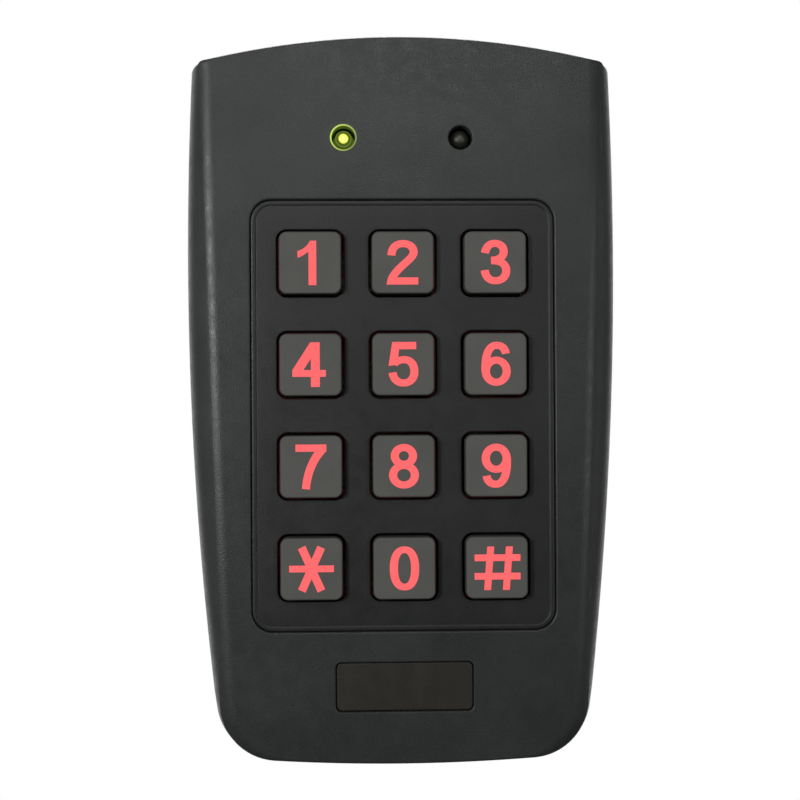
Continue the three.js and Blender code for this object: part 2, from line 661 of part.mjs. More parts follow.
// ---- back plate, gasket and grommet ----
const plateOutline = (inset) => shapeOf(outline(DEPTH, SIDE_WALL + FIT + inset));

function makeBackPlate() {
  const rimInset = FIT + GASKET_WIDTH;
  const rimFront = PLATE_FRONT - PLATE_RIM_HEIGHT;
  let plate = joined(slab(plateOutline(0), PLATE_FRONT, DEPTH),
    slab(plateOutline(rimInset), rimFront, PLATE_FRONT + 0.5));
  plate = cut(plate, slab(plateOutline(rimInset + PLATE_RIM), rimFront - 1, PLATE_FRONT));

  // hooks that reach over the rim into the housing's top wall
  const hookRoot = topEdge(HOOK_OFFSET + HOOK_WIDTH / 2, DEPTH, SIDE_WALL + FIT + rimInset + PLATE_RIM);
  for (const x of [-HOOK_OFFSET, HOOK_OFFSET]) {
    const front = hookFront();
    const length = hookTop() - hookRoot;
    const arm = box(HOOK_WIDTH, length, front, front + HOOK_THICKNESS, x, hookRoot + length / 2);
    const post = box(HOOK_WIDTH, PLATE_RIM, front, PLATE_FRONT + 0.5, x, hookRoot + PLATE_RIM / 2);
    plate = plate.add(solid(arm)).add(solid(post));
  }

  // lug for the security screw
  const lugBottom = SECURITY_BOTTOM + SIDE_WALL + 2 * FIT + GASKET_WIDTH;
  const lugFront = SECURITY_DEPTH - LUG_WIDTH / 2;
  const lug = box(LUG_WIDTH, LUG_LENGTH, lugFront, PLATE_FRONT + 0.5, 0, lugBottom + LUG_LENGTH / 2);
  plate = plate.add(solid(lug));
  const tunnel = new THREE.CylinderGeometry(SECURITY_SCREW / 2 + FIT, SECURITY_SCREW / 2 + FIT, 30, 20);
  plate = cut(plate, upright(tunnel, lugBottom));

  for (const z of [-WALL_HOLE_SPACING / 2, WALL_HOLE_SPACING / 2]) {
    const seatFront = PLATE_FRONT - WALL_SEAT_RISE;
    const rim = WALL_HOLE_SEAT + 2 * WALL_SEAT_RIM;
    plate = plate.add(solid(cylinder(rim, seatFront, PLATE_FRONT + 0.5, 0, z, 24)));
    plate = cut(plate,
      cylinder(WALL_HOLE, seatFront - 1, DEPTH + 1, 0, z),
      cylinder(WALL_HOLE_SEAT, seatFront - 1, DEPTH - WALL_SEAT_THICKNESS, 0, z, 24));
  }
  return cut(plate,
    cylinder(CABLE_HOLE, PLATE_FRONT - 1, DEPTH + 1, 0, CABLE_ABOVE_MIDDLE, 28),
    cylinder(SENSOR_HOLE, PLATE_FRONT - 1, DEPTH + 1, 0, -SENSOR_BELOW_MIDDLE));
}

function makeGasket() {
  const front = PLATE_FRONT - FIT - GASKET_THICKNESS;
  const back = PLATE_FRONT - FIT;
  const within = slab(plateOutline(GASKET_WIDTH), front - 1, back + 1);
  return cut(solid(slab(plateOutline(0), front, back)), within);
}

function makeGrommet() {
  const neck = CABLE_HOLE / 2 - FIT;
  const lip = CABLE_HOLE / 2 + GROMMET.lip;
  const bore = GROMMET.bore / 2;
  const lipBack = PLATE_FRONT - FIT;
  const lipFront = lipBack - GROMMET.lipThickness;
  const front = lipBack - GROMMET.length;
  const back = DEPTH - GROMMET.recess;
  return turned([
    [bore, front],
    [neck - GROMMET.edge, front],
    [lip - GROMMET.edge, lipFront - GROMMET.edge],
    [lip, lipFront],
    [lip, lipBack],
    [neck, lipBack],
    [neck, back],
    [bore, back],
    [bore, front],
  ], 0, CABLE_ABOVE_MIDDLE, 28);
}

// ---- assembly ----
place("front_cover", makeFrontCover(), HOUSING);
place("keypad_bezel", makeBezel(), PANEL);
place("name_label", slab(roundedRectangle(LABEL_LENGTH - 2 * FIT, LABEL_HEIGHT - 2 * FIT, LABEL_CORNER, 0,
  LABEL_Z), LABEL_RECESS - FIT - LABEL_THICKNESS, LABEL_RECESS - FIT), LABEL);
place("key_mat", makeKeyMat(), MAT);
const keyShape = geometryOf(makeKey());
const skirtShape = geometryOf(makeSkirt());
for (const { name, x, z } of keyPlaces) {
  place(name, keyShape, SILICONE, x, z);
  place(`${name}_skirt`, skirtShape, MAT, x, z);
}
place("status_light_left", makeStatusLight(lightPlaces[0]), GREEN_LENS);
place("status_light_right", makeStatusLight(lightPlaces[1]), DARK_LENS);
backlightPlaces.forEach(({ x, z }, i) => {
  const { width, thickness, height } = BACKLIGHT;
  const back = BOARD_DEPTH - FIT;
  place(`backlight_${i + 1}`, box(width, height, back - thickness, back, x, z), RED_LIGHT);
});

place("circuit_board", makeBoard(), BOARD);
boardScrewPlaces.forEach((spot, i) => place(`board_screw_${i + 1}`, makeBoardScrew(spot), STEEL));
place("antenna_coil", makeAntenna(), COPPER);
place("microcontroller", makePackage(MICROCONTROLLER), BLACK_RESIN);
place("voltage_regulator", makePackage(REGULATOR), BLACK_RESIN);
place("buzzer", makeBuzzer(BUZZER), BLACK_RESIN);
place("capacitor", makeCapacitor(CAPACITOR), STEEL);
place("cable_connector", makeConnector(CONNECTOR), CREAM_NYLON);
place("tamper_sensor", makeTamperSensor(), BLACK_RESIN);

place("gasket", makeGasket(), RUBBER);
place("back_plate", makeBackPlate(), HOUSING);
place("cable_grommet", makeGrommet(), RUBBER);
place("security_screw", makeSecurityScrew(), STEEL);

export default group;
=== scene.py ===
import json
import math

import bmesh
import bpy
import numpy as np
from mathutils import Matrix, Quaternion, Vector
from mathutils.geometry import tessellate_polygon


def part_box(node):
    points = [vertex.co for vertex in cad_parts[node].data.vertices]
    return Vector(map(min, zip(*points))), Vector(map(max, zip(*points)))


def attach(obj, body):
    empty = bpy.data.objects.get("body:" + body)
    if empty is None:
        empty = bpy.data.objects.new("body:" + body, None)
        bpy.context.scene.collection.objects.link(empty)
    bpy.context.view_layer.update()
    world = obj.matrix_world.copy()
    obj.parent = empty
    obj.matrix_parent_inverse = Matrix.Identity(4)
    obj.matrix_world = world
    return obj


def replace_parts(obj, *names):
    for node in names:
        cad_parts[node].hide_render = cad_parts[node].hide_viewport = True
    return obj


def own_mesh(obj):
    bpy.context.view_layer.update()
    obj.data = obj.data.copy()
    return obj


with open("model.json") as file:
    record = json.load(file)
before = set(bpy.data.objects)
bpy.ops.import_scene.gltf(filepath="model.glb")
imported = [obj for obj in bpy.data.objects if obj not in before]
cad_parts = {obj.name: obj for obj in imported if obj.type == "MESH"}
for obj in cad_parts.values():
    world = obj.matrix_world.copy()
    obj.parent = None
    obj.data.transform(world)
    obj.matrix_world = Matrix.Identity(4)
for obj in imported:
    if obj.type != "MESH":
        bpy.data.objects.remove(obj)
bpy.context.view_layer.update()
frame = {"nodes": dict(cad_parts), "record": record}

# Shapes are drawn in millimetres in the part's own frame (+Z up, front towards -Y) and scaled to
# metres when a mesh is made. A depth is counted from the flat front face towards the wall.
MM = 0.001
SHARP_ANGLE = 38             # degrees between two faces from which their edge is shaded sharp


def node_box(name):
    low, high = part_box(name)
    return np.array(low) / MM, np.array(high) / MM


COVER_LOW, COVER_HIGH = node_box("front_cover")
BEZEL_LOW, BEZEL_HIGH = node_box("keypad_bezel")
KEYS = ["1", "2", "3", "4", "5", "6", "7", "8", "9", "star", "0", "hash"]
FACE_Y = COVER_LOW[1]
REAR_DEPTH = COVER_HIGH[1] - FACE_Y

# ---- housing ----
SIDE_BAND_TOP = 7.68         # panel to the crease at the top of the face
SIDE_BAND_BOTTOM = 4.03      # panel to the crease at the bottom of the face
SIDE_REACH = 11.18           # panel to the widest point of the housing
WIDEST_Z = 22.5              # height of the widest point
SIDE_BOW = 596.0             # radius of the bowed sides
TOP_ARCH = 138.0             # radius of the arched top edge
BOTTOM_ARCH = 317.0
TOP_CORNER = 1.0
BOTTOM_CORNER = 9.4
LEAST_CORNER = 0.3           # a corner's radius goes no lower when its outline is drawn inwards
SHOULDER_DEPTH = 18.0        # depth over which the sides swell out from the crease
SHOULDER_FULLNESS = 8        # how much of the swelling lies close to the face
END_DRAFT = 0.4              # how much further the ends reach at the wall than at the face
CREASE_RADIUS = 4.2          # rounding of the crease between face and shoulder
END_RADIUS = 0.45            # rounding of the face's top and bottom edges
FACE_WALL = 2.4
SIDE_WALL = 2.2
REAR_EDGE = 0.25             # rounding of the rear edge
FLAT_BAND = 0.08             # flat strip beside a rounded edge, which keeps the face's shading flat

# ---- panel ----
FLANGE = 1.5                 # panel's flange beyond its edge, behind the housing's face
FLANGE_THICKNESS = 1.3
PANEL_WIDTH = BEZEL_HIGH[0] - BEZEL_LOW[0] - 2 * FLANGE
PANEL_HEIGHT = BEZEL_HIGH[2] - BEZEL_LOW[2] - 2 * FLANGE
PANEL_Z = (BEZEL_LOW[2] + BEZEL_HIGH[2]) / 2
PANEL_CORNER = 3.4
PANEL_GROOVE = 0.14          # panel to the housing, each side
PANEL_BACK = BEZEL_HIGH[1] - FACE_Y
PANEL_SUNK = 0.5             # flat panel below the housing's face
GROOVE_LIP = 0.3             # rounding of the housing's edge around the panel
KEY_GAP = 0.45               # key to its opening, each side

# ---- keys ----
KEY_CORNER = 1.3
KEY_EDGE = 0.42              # rounding of the key's top edge
LEGEND_RISE = 0.03           # legend above the key's top
PEN = (0.71, 0.62)           # half the stroke's width and height in the legends
LEGEND_TRIM = 0.04           # glow spreads past an edge, so each legend is drawn this much slimmer
LEGEND_STEP = 0.035          # spacing of the grid that the legends are drawn on
LEGEND_REACH = 4.3           # half the side of that grid
FAR = 9.0                    # longer than any distance that a legend's outline depends on

# ---- lights and label ----
LIGHT_HOLE = 1.95            # radius of a light's hole
LIGHT_LIP = 0.25             # rounding of the hole's edge
LIGHT_RADIUS = 1.5
LIGHT_FLANGE = 1.0           # thickness of a light's flange
GLOW_SPAN = 4                # distance from the left light over which its glow on the cover is drawn
LABEL_CORNER = 0.6
LABEL_GAP = 0.4              # plain model's label to the side of the recess
LABEL_LIP = 0.18             # rounding of the recess's edge
LABEL_SPREAD = 0.18          # label beyond the plain model's, each side
LABEL_EDGE = 0.1             # rounding of the label's edge


# ---------------------------------------------------------------- meshes
class Skin:
    """A closed surface that is built ring by ring."""

    def __init__(self):
        self.points = []
        self.faces = []

    def ring(self, outline, depth):
        """Adds the points of an outline in x and z at a depth, and returns their numbers."""
        start = len(self.points)
        ys = FACE_Y + np.broadcast_to(depth, len(outline))
        self.points.extend((x, y, z) for (x, z), y in zip(outline, ys))
        return list(range(start, len(self.points)))

    def bridge(self, first, second):
        for i in range(len(first)):
            j = (i + 1) % len(first)
            self.faces.append((first[i], second[i], second[j], first[j]))

    def loft(self, rings):
        """Bridges a list of (outline, depth) and returns the first and last ring."""
        made = [self.ring(outline, depth) for outline, depth in rings]
        for first, second in zip(made, made[1:]):
            self.bridge(first, second)
        return made[0], made[-1]

    def fill(self, outer, holes=()):
        loops = [outer, *holes]
        flat = [i for loop in loops for i in loop]
        polygons = [[Vector((self.points[i][0], self.points[i][2], 0)) for i in loop] for loop in loops]
        self.faces.extend(tuple(flat[i] for i in corner) for corner in tessellate_polygon(polygons))

    def build(self, name, material, body, sharp_angle=SHARP_ANGLE):
        mesh = bpy.data.meshes.new(name)
        mesh.from_pydata([Vector(point) * MM for point in self.points], [], self.faces)
        shell = bmesh.new()
        shell.from_mesh(mesh)
        bmesh.ops.recalc_face_normals(shell, faces=shell.faces)
        shell.to_mesh(mesh)
        shell.free()
        return finish_piece(name, mesh, material, body, sharp_angle)


def finish_piece(name, mesh, material, body, sharp_angle=SHARP_ANGLE):
    mesh.shade_smooth()
    mesh.set_sharp_from_angle(angle=math.radians(sharp_angle))
    mesh.materials.clear()
    mesh.materials.append(material)
    piece = bpy.data.objects.new(name, mesh)
    bpy.context.scene.collection.objects.link(piece)
    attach(piece, body)
    return piece


def arc(centre, radius, start, end, count):
    angles = np.linspace(start, end, count + 1)
    return np.column_stack([centre[0] + radius * np.cos(angles), centre[1] + radius * np.sin(angles)])


def circle(centre, radius, count=48):
    return arc(centre, radius, 0, 2 * math.pi, count)[:-1]


def rounded_rectangle(centre, width, height, radius, per_corner=8):
    right, top = width / 2 - radius, height / 2 - radius
    corners = [(right, -top), (right, top), (-right, top), (-right, -top)]
    arcs = [arc((centre[0] + x, centre[1] + z), radius, math.pi / 2 * (i - 1), math.pi / 2 * i, per_corner)
            for i, (x, z) in enumerate(corners)]
    return np.vstack(arcs)


def lip(radius, steps=6):
    """(how far out, how deep) along a rounded edge, from the face to the wall of the hole."""
    angles = np.linspace(0, math.pi / 2, steps + 1)
    return [(radius * (1 - math.sin(a)), radius * (1 - math.cos(a))) for a in angles]


def turned(name, profile, centre, material, body, segments=48):
    """A piece turned about an axis along Y. The profile is a list of (radius, depth), axis to axis."""
    skin = Skin()
    rings = [(circle(centre, radius, segments), depth) for radius, depth in profile if radius > 0]
    first, last = skin.loft(rings)
    for ring, (_, depth) in ((first, profile[0]), (last, profile[-1])):
        tip = len(skin.points)
        skin.points.append((centre[0], FACE_Y + depth, centre[1]))
        skin.faces.extend((ring[i], ring[(i + 1) % segments], tip) for i in range(segments))
    return skin.build(name, material, body)


# ---------------------------------------------------------------- materials
def new_material(name, roughness=0.5, metallic=0.0, specular=0.5):
    material = bpy.data.materials.new(name)
    material.use_nodes = True
    nodes = material.node_tree.nodes
    shader = nodes["Principled BSDF"]
    shader.inputs["Roughness"].default_value = roughness
    shader.inputs["Metallic"].default_value = metallic
    shader.inputs["Specular IOR Level"].default_value = specular
    return material, nodes, material.node_tree.links, shader


def coordinates(nodes, links, stretch=(1, 1, 1)):
    place = nodes.new("ShaderNodeTexCoord")
    mapping = nodes.new("ShaderNodeMapping")
    mapping.inputs["Scale"].default_value = stretch
    links.new(place.outputs["Object"], mapping.inputs["Vector"])
    return mapping.outputs["Vector"]


def noise(nodes, links, vector, scale, detail=3.0, roughness=0.5):
    texture = nodes.new("ShaderNodeTexNoise")
    texture.inputs["Scale"].default_value = scale
    texture.inputs["Detail"].default_value = detail
    texture.inputs["Roughness"].default_value = roughness
    links.new(vector, texture.inputs["Vector"])
    return texture.outputs["Fac"]


def ramp(nodes, links, factor, stops):
    """A colour ramp of (position, colour) stops."""
    node = nodes.new("ShaderNodeValToRGB")
    elements = node.color_ramp.elements
    while len(elements) < len(stops):
        elements.new(0.5)
    for element, (position, colour) in zip(elements, stops):
        element.position = position
        element.color = (*colour, 1)
    links.new(factor, node.inputs["Fac"])
    return node.outputs["Color"]


def math_node(nodes, links, operation, first, second=0.0):
    node = nodes.new("ShaderNodeMath")
    node.operation = operation
    for value, socket in zip((first, second), node.inputs):
        if isinstance(value, (int, float)):
            socket.default_value = value
        else:
            links.new(value, socket)
    return node.outputs[0]


def bump(nodes, links, shader, layers, distance=0.00005):
    """Stacks bump layers of (height socket, strength) onto a shader."""
    previous = None
    for height, strength in layers:
        node = nodes.new("ShaderNodeBump")
        node.inputs["Strength"].default_value = strength
        node.inputs["Distance"].default_value = distance
        links.new(height, node.inputs["Height"])
        if previous is not None:
            links.new(previous, node.inputs["Normal"])
        previous = node.outputs["Normal"]
    links.new(previous, shader.inputs["Normal"])


def scaled(nodes, links, colour, factor):
    """A colour times a number that varies over the surface."""
    node = nodes.new("ShaderNodeVectorMath")
    node.operation = "SCALE"
    links.new(colour, node.inputs[0])
    links.new(factor, node.inputs["Scale"])
    return node.outputs["Vector"]


def shades(colour, spread):
    """A darker and a lighter version of a colour."""
    return tuple(c * (1 - spread) for c in colour), tuple(c * (1 + spread) for c in colour)


def moulded(name, colour, roughness, grain, specular=0.5, spread=0.12, grain_size=0.00028, scuffs=0.15):
    """Moulded plastic or rubber: clouded colour, uneven gloss, a fine sparked grain, faint scuffs."""
    material, nodes, links, shader = new_material(name, roughness, 0, specular)
    vector = coordinates(nodes, links)
    fine = noise(nodes, links, vector, 1 / grain_size, 2, 0.6)
    clouds = math_node(nodes, links, "MULTIPLY", noise(nodes, links, vector, 90, 5, 0.6), 0.5)
    mottle = math_node(nodes, links, "MULTIPLY_ADD", fine, 0.5)
    links.new(clouds, mottle.node.inputs[2])
    dark, light = shades(colour, spread)
    links.new(ramp(nodes, links, mottle, [(0.36, dark), (0.64, light)]), shader.inputs["Base Color"])
    patches = noise(nodes, links, vector, 420, 4, 0.7)
    gloss = [(0.3, (roughness - scuffs / 2,) * 3), (0.7, (roughness + scuffs / 2,) * 3)]
    links.new(ramp(nodes, links, patches, gloss), shader.inputs["Roughness"])
    waves = noise(nodes, links, vector, 160, 2, 0.5)
    bump(nodes, links, shader, [(fine, grain), (waves, 0.35)])
    return material, nodes, links, shader


def light_distance(nodes, links, centre):
    """Distance in the face's plane from a point, in metres, and its parts along X and Z."""
    split = nodes.new("ShaderNodeSeparateXYZ")
    links.new(coordinates(nodes, links), split.inputs[0])
    dx = math_node(nodes, links, "SUBTRACT", split.outputs["X"], centre[0] * MM)
    dz = math_node(nodes, links, "SUBTRACT", split.outputs["Z"], centre[1] * MM)
    square = math_node(nodes, links, "ADD", math_node(nodes, links, "MULTIPLY", dx, dx),
                       math_node(nodes, links, "MULTIPLY", dz, dz))
    return math_node(nodes, links, "SQRT", square), dx, dz


def centre_of(node):
    low, high = node_box(node)
    return (low[0] + high[0]) / 2, (low[2] + high[2]) / 2


LEFT_LIGHT = centre_of("status_light_left")
RIGHT_LIGHT = centre_of("status_light_right")

COVER_COLOUR = (0.040, 0.044, 0.042)
PANEL_COLOUR = (0.024, 0.0245, 0.0245)
KEY_COLOUR = (0.055, 0.0555, 0.052)
# colour of the painted glow that lightens the keys' front faces
KEY_PAINTED_GLOW = (0.042, 0.042, 0.039)
LEGEND_GLOW = (1.0, 0.152, 0.158)


def cover_material():
    material, nodes, links, shader = moulded("cover_plastic", COVER_COLOUR, 0.4, 0.8, specular=0.4,
                                             spread=0.22)
    distance, dx, dz = light_distance(nodes, links, LEFT_LIGHT)
    # painted light: the left light's glow on the mouth and wall of its hole, brighter towards its upper
    # left
    wall, mouth = LIGHT_HOLE / GLOW_SPAN, (LIGHT_HOLE + LIGHT_LIP) / GLOW_SPAN
    lit = [(0.0, (0.03, 0.05, 0.002)), (wall + 0.002, (0.05, 0.08, 0.004)),
           (wall + 0.012, (0.62, 0.78, 0.14)), (mouth - 0.006, (0.5, 0.64, 0.13)),
           (mouth + 0.01, (0.004, 0.006, 0.0)), (0.9, (0, 0, 0))]
    glow = ramp(nodes, links, math_node(nodes, links, "MULTIPLY", distance, 1 / (GLOW_SPAN * MM)), lit)
    side = math_node(nodes, links, "SUBTRACT", math_node(nodes, links, "MULTIPLY", dz, 0.35), dx)
    bias = math_node(nodes, links, "MULTIPLY_ADD", side, 160)
    bias.node.inputs[2].default_value = 0.75
    links.new(scaled(nodes, links, glow, bias), shader.inputs["Emission Color"])
    shader.inputs["Emission Strength"].default_value = 1.0
    return material


def key_material():
    """Grey translucent silicone, with a painted glow on its front-facing faces that lightens the key tops.
    """
    material, nodes, links, shader = moulded("key_silicone", KEY_COLOUR, 0.72, 0.6, specular=0.25,
                                             spread=0.05, grain_size=0.00022)
    cloud = noise(nodes, links, coordinates(nodes, links), 150, 3, 0.5)
    dim, bright = shades(KEY_PAINTED_GLOW, 0.12)
    glow = ramp(nodes, links, cloud, [(0.3, dim), (0.7, bright)])
    split = nodes.new("ShaderNodeSeparateXYZ")
    place = nodes.new("ShaderNodeTexCoord")
    links.new(place.outputs["Normal"], split.inputs[0])
    facing = math_node(nodes, links, "MULTIPLY", split.outputs["Y"], -1.0)
    # painted light: the glow is kept to faces that look to the front
    painted_glow_on_front = ramp(nodes, links, facing, [(0.6, (0, 0, 0)), (0.95, (1, 1, 1))])
    links.new(scaled(nodes, links, glow, painted_glow_on_front), shader.inputs["Emission Color"])
    shader.inputs["Emission Strength"].default_value = 1.0
    return material


def legend_material():
    material, nodes, links, shader = new_material("legend_glow", 0.7, 0, 0.1)
    shader.inputs["Base Color"].default_value = (0.2, 0.01, 0.01, 1)
    mottling = noise(nodes, links, coordinates(nodes, links), 700, 2, 0.5)
    tones = [(0.3, tuple(c * 0.93 for c in LEGEND_GLOW)), (0.7, LEGEND_GLOW)]
    links.new(ramp(nodes, links, mottling, tones), shader.inputs["Emission Color"])
    shader.inputs["Emission Strength"].default_value = 1.0
    bump(nodes, links, shader, [(mottling, 0.2)])
    return material


def glowing_silicone():
    material, nodes, links, shader = moulded("mat_silicone", (0.06, 0.004, 0.003), 0.6, 0.4)
    cloud = noise(nodes, links, coordinates(nodes, links), 120, 2, 0.5)
    links.new(ramp(nodes, links, cloud, [(0.35, (0.02, 0.0, 0.0)), (0.7, (0.16, 0.004, 0.004))]),
              shader.inputs["Emission Color"])
    shader.inputs["Emission Strength"].default_value = 0.13
    return material


def lens_material(name, centre, stops, strength, roughness=0.12):
    """A clear lens over a lit or unlit chip, seen as rings of glow around its axis; over an unlit chip the
    glow is painted light.
    """
    material, nodes, links, shader = new_material(name, roughness, 0, 0.5)
    distance = light_distance(nodes, links, centre)[0]
    ripple = noise(nodes, links, coordinates(nodes, links), 1500, 2, 0.5)
    uneven = math_node(nodes, links, "MULTIPLY_ADD", ripple, 0.06)
    links.new(math_node(nodes, links, "MULTIPLY", distance, 1 / (2 * MM)), uneven.node.inputs[2])
    colour = ramp(nodes, links, uneven, stops)
    links.new(colour, shader.inputs["Emission Color"])
    shader.inputs["Emission Strength"].default_value = strength
    shader.inputs["Base Color"].default_value = (0.01, 0.012, 0.006, 1)
    bump(nodes, links, shader, [(ripple, 0.1)])
    return material


def label_material():
    material, nodes, links, shader = moulded("label_film", (0.036, 0.032, 0.027), 0.5, 0.5, 0.35)
    bands = noise(nodes, links, coordinates(nodes, links, (1, 1, 0.15)), 260, 3, 0.6)
    links.new(ramp(nodes, links, bands, [(0.3, (0.033, 0.0290, 0.0240)), (0.7, (0.040, 0.0355, 0.0295))]),
              shader.inputs["Base Color"])
    return material


def board_material():
    material, nodes, links, shader = new_material("board_laminate", 0.35)
    vector = coordinates(nodes, links)
    tracks = nodes.new("ShaderNodeTexBrick")
    tracks.inputs["Scale"].default_value = 160
    tracks.inputs["Mortar Size"].default_value = 0.06
    tracks.inputs["Color1"].default_value = (0.010, 0.085, 0.030, 1)
    tracks.inputs["Color2"].default_value = (0.013, 0.105, 0.038, 1)
    tracks.inputs["Mortar"].default_value = (0.03, 0.17, 0.06, 1)
    swizzle = nodes.new("ShaderNodeMapping")
    swizzle.inputs["Rotation"].default_value = (math.pi / 2, 0, 0)
    links.new(vector, swizzle.inputs["Vector"])
    links.new(swizzle.outputs["Vector"], tracks.inputs["Vector"])
    links.new(tracks.outputs["Color"], shader.inputs["Base Color"])
    bump(nodes, links, shader, [(tracks.outputs["Fac"], 0.3), (noise(nodes, links, vector, 2500, 2), 0.3)])
    return material


def metal_material(name, colour, roughness, stretch):
    material, nodes, links, shader = new_material(name, roughness, 1)
    grain = noise(nodes, links, coordinates(nodes, links, stretch), 1400, 3, 0.6)
    dull, bright = shades(colour, 0.18)
    links.new(ramp(nodes, links, grain, [(0.3, dull), (0.7, bright)]), shader.inputs["Base Color"])
    rough = [(0.3, (roughness - 0.08,) * 3), (0.7, (roughness + 0.12,) * 3)]
    links.new(ramp(nodes, links, grain, rough), shader.inputs["Roughness"])
    bump(nodes, links, shader, [(grain, 0.4)])
    return material


def backlight_material():
    material, nodes, links, shader = new_material("backlight_red", 0.3)
    cells = noise(nodes, links, coordinates(nodes, links), 1800, 2)
    links.new(ramp(nodes, links, cells, [(0.3, (0.7, 0.01, 0.01)), (0.7, (1.0, 0.06, 0.03))]),
              shader.inputs["Emission Color"])
    shader.inputs["Emission Strength"].default_value = 1.5
    bump(nodes, links, shader, [(cells, 0.3)])
    return material


COVER = cover_material()
BACK = moulded("back_plastic", COVER_COLOUR, 0.55, 0.7)[0]
PANEL = moulded("panel_plastic", PANEL_COLOUR, 0.45, 0.6, specular=0.4, spread=0.18)[0]
KEY = key_material()
LEGEND = legend_material()
MAT = glowing_silicone()
LABEL = label_material()
GREEN = lens_material("light_green", LEFT_LIGHT, [
    (0.0, (0.96, 1.0, 0.30)), (0.40, (0.93, 1.0, 0.15)), (0.45, (0.10, 0.15, 0.005)),
    (0.58, (0.05, 0.08, 0.004)), (0.64, (0.16, 0.22, 0.05)), (0.74, (0.05, 0.08, 0.006))], 1.0)
# the unlit right light: a dim painted glow at the lens's middle stands in for its chip seen lit through the
# lens
DARK_LENS_PAINTED_GLOW = lens_material("light_dark", RIGHT_LIGHT, [
    (0.0, (0.075, 0.070, 0.058)), (0.24, (0.05, 0.047, 0.038)), (0.42, (0.010, 0.010, 0.009)),
    (1.0, (0.0, 0.0, 0.0))], 0.6, roughness=0.45)
RESIN = moulded("black_resin", (0.012, 0.012, 0.012), 0.5, 0.8)[0]
NYLON = moulded("cream_nylon", (0.60, 0.55, 0.40), 0.5, 0.5)[0]
RUBBER = moulded("seal_rubber", (0.012, 0.012, 0.012), 0.8, 1.0, specular=0.3)[0]
STEEL = metal_material("steel", (0.42, 0.43, 0.44), 0.3, (1, 1, 6))
COPPER = metal_material("coil_copper", (0.55, 0.20, 0.08), 0.35, (8, 8, 0.5))
BOARD = board_material()
CHIP = backlight_material()


# ---------------------------------------------------------------- housing
def crease(z, bottom, top):
    along = (z - bottom) / (top - bottom)
    return PANEL_WIDTH / 2 + SIDE_BAND_BOTTOM + (SIDE_BAND_TOP - SIDE_BAND_BOTTOM) * along


def bowed(z):
    return PANEL_WIDTH / 2 + SIDE_REACH - (z - WIDEST_Z) ** 2 / (2 * SIDE_BOW)


FULL_DRAFT = END_DRAFT * REAR_DEPTH / (-FACE_Y)
FACE_TOP = COVER_HIGH[2] - FULL_DRAFT
FACE_BOTTOM = COVER_LOW[2] + FULL_DRAFT


def half_width(z, depth):
    swell = 1 - (1 - min(depth / SHOULDER_DEPTH, 1)) ** SHOULDER_FULLNESS
    edge = crease(z, FACE_BOTTOM, FACE_TOP)
    return edge + (bowed(z) - edge) * swell


def crease_turn(z):
    """The angle between the face and the start of the shoulder."""
    slope = SHOULDER_FULLNESS * (bowed(z) - crease(z, FACE_BOTTOM, FACE_TOP)) / SHOULDER_DEPTH
    return math.pi / 2 - np.arctan(slope)


def outline(side, end_depth, end_inset=0.0):
    """The housing's outline, counter-clockwise from the middle of the bottom edge.

    side gives half the width at a height. The second result says of each point how far it
    belongs to the top or bottom edge, 1, rather than to a side, 0.
    """
    draft = END_DRAFT * end_depth / (-FACE_Y)
    arch, base = TOP_ARCH - end_inset, BOTTOM_ARCH - end_inset
    arch_z = FACE_TOP + draft - TOP_ARCH
    base_z = FACE_BOTTOM - draft + BOTTOM_ARCH
    top_radius, bottom_radius = max(TOP_CORNER - end_inset, LEAST_CORNER), BOTTOM_CORNER - end_inset

    def lean(z):
        return math.atan(side(z + 0.5) - side(z - 0.5))

    low = base_z - base + bottom_radius
    low_x = side(low) - bottom_radius / math.cos(lean(low))
    low_centre = (low_x, base_z - math.sqrt((base - bottom_radius) ** 2 - low_x ** 2))
    high = arch_z + math.sqrt(arch ** 2 - side(FACE_TOP) ** 2) - top_radius
    high_x = side(high) - top_radius / math.cos(lean(high))
    high_centre = (high_x, arch_z + math.sqrt((arch - top_radius) ** 2 - high_x ** 2))
    base_end = math.atan2(low_centre[1] - base_z, low_centre[0])
    arch_start = math.atan2(high_centre[1] - arch_z, high_centre[0])

    bottom_arc = arc((0, base_z), base, -math.pi / 2, base_end, 10)
    bottom_corner = arc(low_centre, bottom_radius, base_end, -lean(low), 16)[1:]
    top_corner = arc(high_centre, top_radius, -lean(high), arch_start, 8)
    top_arc = arc((0, arch_z), arch, arch_start, math.pi / 2, 20)[1:]
    heights = np.linspace(bottom_corner[-1][1], top_corner[0][1], 42)[1:-1]
    sides = np.array([(side(z), z) for z in heights])
    right = np.vstack([bottom_arc, bottom_corner, sides, top_corner, top_arc])
    ends = np.concatenate([np.ones(len(bottom_arc)), np.linspace(1, 0, len(bottom_corner) + 1)[1:],
                           np.zeros(len(heights)), np.linspace(0, 1, len(top_corner)),
                           np.ones(len(top_arc))])
    mirrored = right[1:-1][::-1] * (-1, 1)
    return np.vstack([right, mirrored]), np.concatenate([ends, ends[1:-1][::-1]])


def edge_ring(share, inset=0.0):
    """A ring around the face's rounded edge: share 0 is on the face and 1 on the wall."""
    def side(z):
        turn = crease_turn(z)
        flat = CREASE_RADIUS * math.tan(turn / 2)
        return crease(z, FACE_BOTTOM, FACE_TOP) - flat + CREASE_RADIUS * math.sin(share * turn) - inset

    angle = share * math.pi / 2
    end_depth = END_RADIUS * (1 - math.cos(angle))
    points, ends = outline(side, end_depth, END_RADIUS * (1 - math.sin(angle)) + inset)
    turns = share * crease_turn(points[:, 1])
    side_depth = CREASE_RADIUS * (1 - np.cos(turns))
    return points, ends * end_depth + (1 - ends) * side_depth


